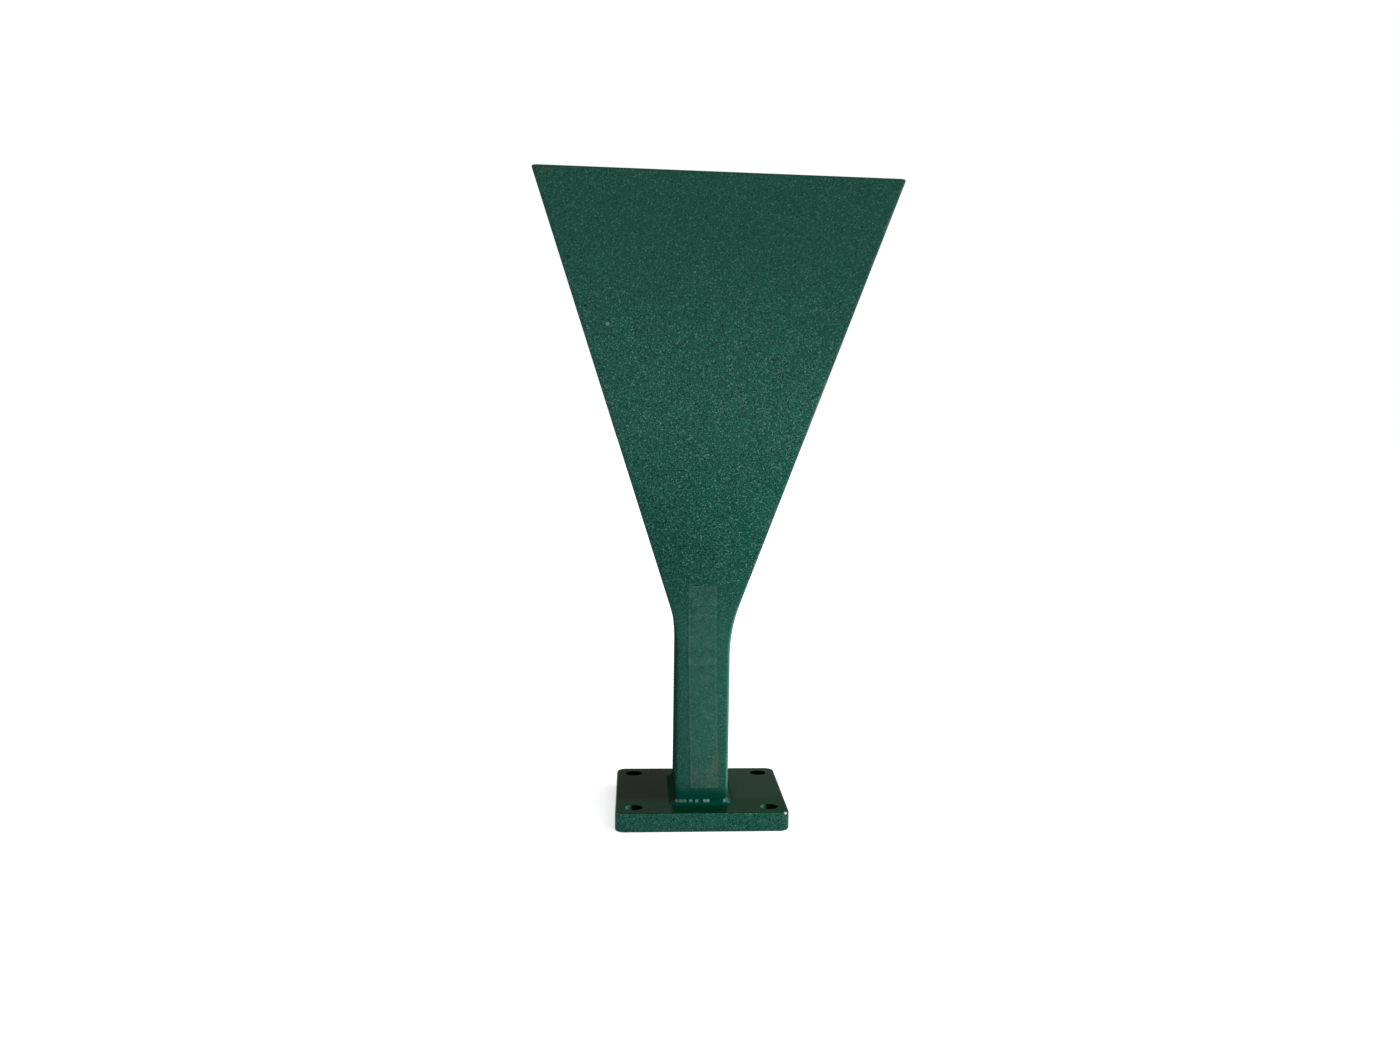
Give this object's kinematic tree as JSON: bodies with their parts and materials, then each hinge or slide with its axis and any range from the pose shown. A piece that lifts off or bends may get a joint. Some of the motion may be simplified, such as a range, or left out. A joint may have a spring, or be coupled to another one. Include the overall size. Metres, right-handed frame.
{
  "type": "waveguide horn antenna",
  "caption": "Pyramidal horn antenna: a rectangular waveguide neck on a square bolted flange curves out into a flared, open rectangular mouth.",
  "frame": {"origin": "centre of the flange's mating face, which is also the centre of the waveguide's open end", "axes": "+Z from the mating face up to the mouth; X across the waveguide's narrow side, Y across its broad side; the label tapes are on the -Y wall"},
  "size_m": [0.0748, 0.1056, 0.146],
  "materials": {
    "flange_paint": "glossy dark green paint on brass, speckled on the sides",
    "horn_paint": "dark green hammered enamel outside, bare brass inside",
    "fillet_paint": "glossy dark green paint over solder",
    "tape": "clear tape, slightly yellowed at the edges"
  },
  "bodies": {
    "root": {"waveguide_flange": "flange_paint", "horn_body": "horn_paint", "solder_fillet": "fillet_paint", "lower_label_tape": "tape", "upper_label_tape": "tape"}
  },
  "joints": []
}
